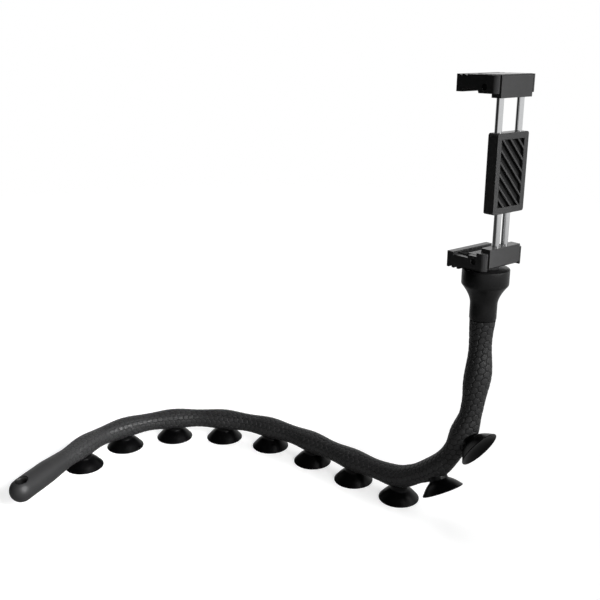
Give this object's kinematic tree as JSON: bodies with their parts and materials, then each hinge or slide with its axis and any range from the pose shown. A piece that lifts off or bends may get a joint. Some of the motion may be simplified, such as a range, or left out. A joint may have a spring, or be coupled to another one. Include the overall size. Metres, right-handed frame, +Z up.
{
  "type": "flexible phone mount",
  "caption": "Bendable silicone-skinned arm with suction cups along one side and a sprung two-claw phone clamp on a swivel collar.",
  "frame": {"origin": "middle of the footprint on the desk: the centre of the bounding box's bottom face", "axes": "+Z up from the desk; X along the clamped phone's length; +Y through the phone, from its back to its front"},
  "size_m": [0.2168, 0.222, 0.2385],
  "materials": {
    "arm_skin": "matte with raised rounded cells",
    "bend_wire": "plain",
    "cup_rubber": "glossy",
    "collar_plastic": "satin",
    "washer": "matte",
    "steel": "plain",
    "jaw_plastic": "fine satin",
    "claw_plastic": "satin",
    "box_plastic": "fine satin",
    "pad_rubber": "matte",
    "chrome_rod": "polished"
  },
  "bodies": {
    "arm": {"arm_sleeve": "arm_skin", "arm_core": "bend_wire", "suction_cup_01": "cup_rubber", "suction_cup_02": "cup_rubber", "suction_cup_03": "cup_rubber", "suction_cup_04": "cup_rubber", "suction_cup_05": "cup_rubber", "suction_cup_06": "cup_rubber", "suction_cup_07": "cup_rubber", "suction_cup_08": "cup_rubber", "suction_cup_09": "cup_rubber"},
    "riser": {"suction_cup_10": "cup_rubber"},
    "head": {"collar": "collar_plastic", "swivel_washer": "washer", "swivel_bolt": "steel"},
    "jaw_base": {"lower_jaw_block": "jaw_plastic", "lower_claw_pin": "steel", "lower_rod_left": "chrome_rod", "lower_rod_right": "chrome_rod", "lower_crossbar": "steel", "lower_spring": "steel"},
    "lower_claw": {"lower_claw": "claw_plastic", "lower_claw_pad": "pad_rubber"},
    "box": {"box_shell": "box_plastic", "box_grille": "box_plastic", "box_front": "box_plastic", "upper_spring": "steel"},
    "upper_jaw": {"upper_jaw_block": "jaw_plastic", "upper_claw_pin": "steel", "upper_rod_left": "chrome_rod", "upper_rod_right": "chrome_rod", "upper_crossbar": "steel"},
    "upper_claw": {"upper_claw": "claw_plastic", "upper_claw_pad": "pad_rubber"}
  },
  "joints": [
    {"name": "arm_bend", "type": "hinge", "parent": "arm", "child": "riser", "pos_m": [0.08167, -0.09078, 0.04273], "axis": [1, 0, 0], "range_deg": [-25, 25], "deforming": ["arm_sleeve", "arm_core"]},
    {"name": "arm_tilt", "type": "hinge", "parent": "riser", "child": "head", "pos_m": [0.09067, -0.09583, 0.08672], "axis": [0, 1, 0], "range_deg": [-25, 25], "deforming": ["arm_sleeve", "arm_core"]},
    {"name": "swivel", "type": "hinge", "parent": "head", "child": "jaw_base", "pos_m": [0.09339, -0.09415, 0.14278], "axis": [0, 0, 1], "continuous": true},
    {"name": "lower_claw_fold", "type": "hinge", "parent": "jaw_base", "child": "lower_claw", "pos_m": [0.09339, -0.09795, 0.14908], "axis": [1, 0, 0], "range_deg": [0, 80]},
    {"name": "box_slide", "type": "slide", "parent": "jaw_base", "child": "box", "axis": [0, 0, 1], "range_m": [-0.0075, 0.0046], "stiffness_N_per_m": 300, "deforming": ["lower_spring"]},
    {"name": "upper_jaw_slide", "type": "slide", "parent": "box", "child": "upper_jaw", "axis": [0, 0, 1], "range_m": [-0.0075, 0.0046], "stiffness_N_per_m": 300, "deforming": ["upper_spring"]},
    {"name": "upper_claw_fold", "type": "hinge", "parent": "upper_jaw", "child": "upper_claw", "pos_m": [0.09339, -0.09795, 0.23268], "axis": [1, 0, 0], "range_deg": [-80, 0]}
  ]
}
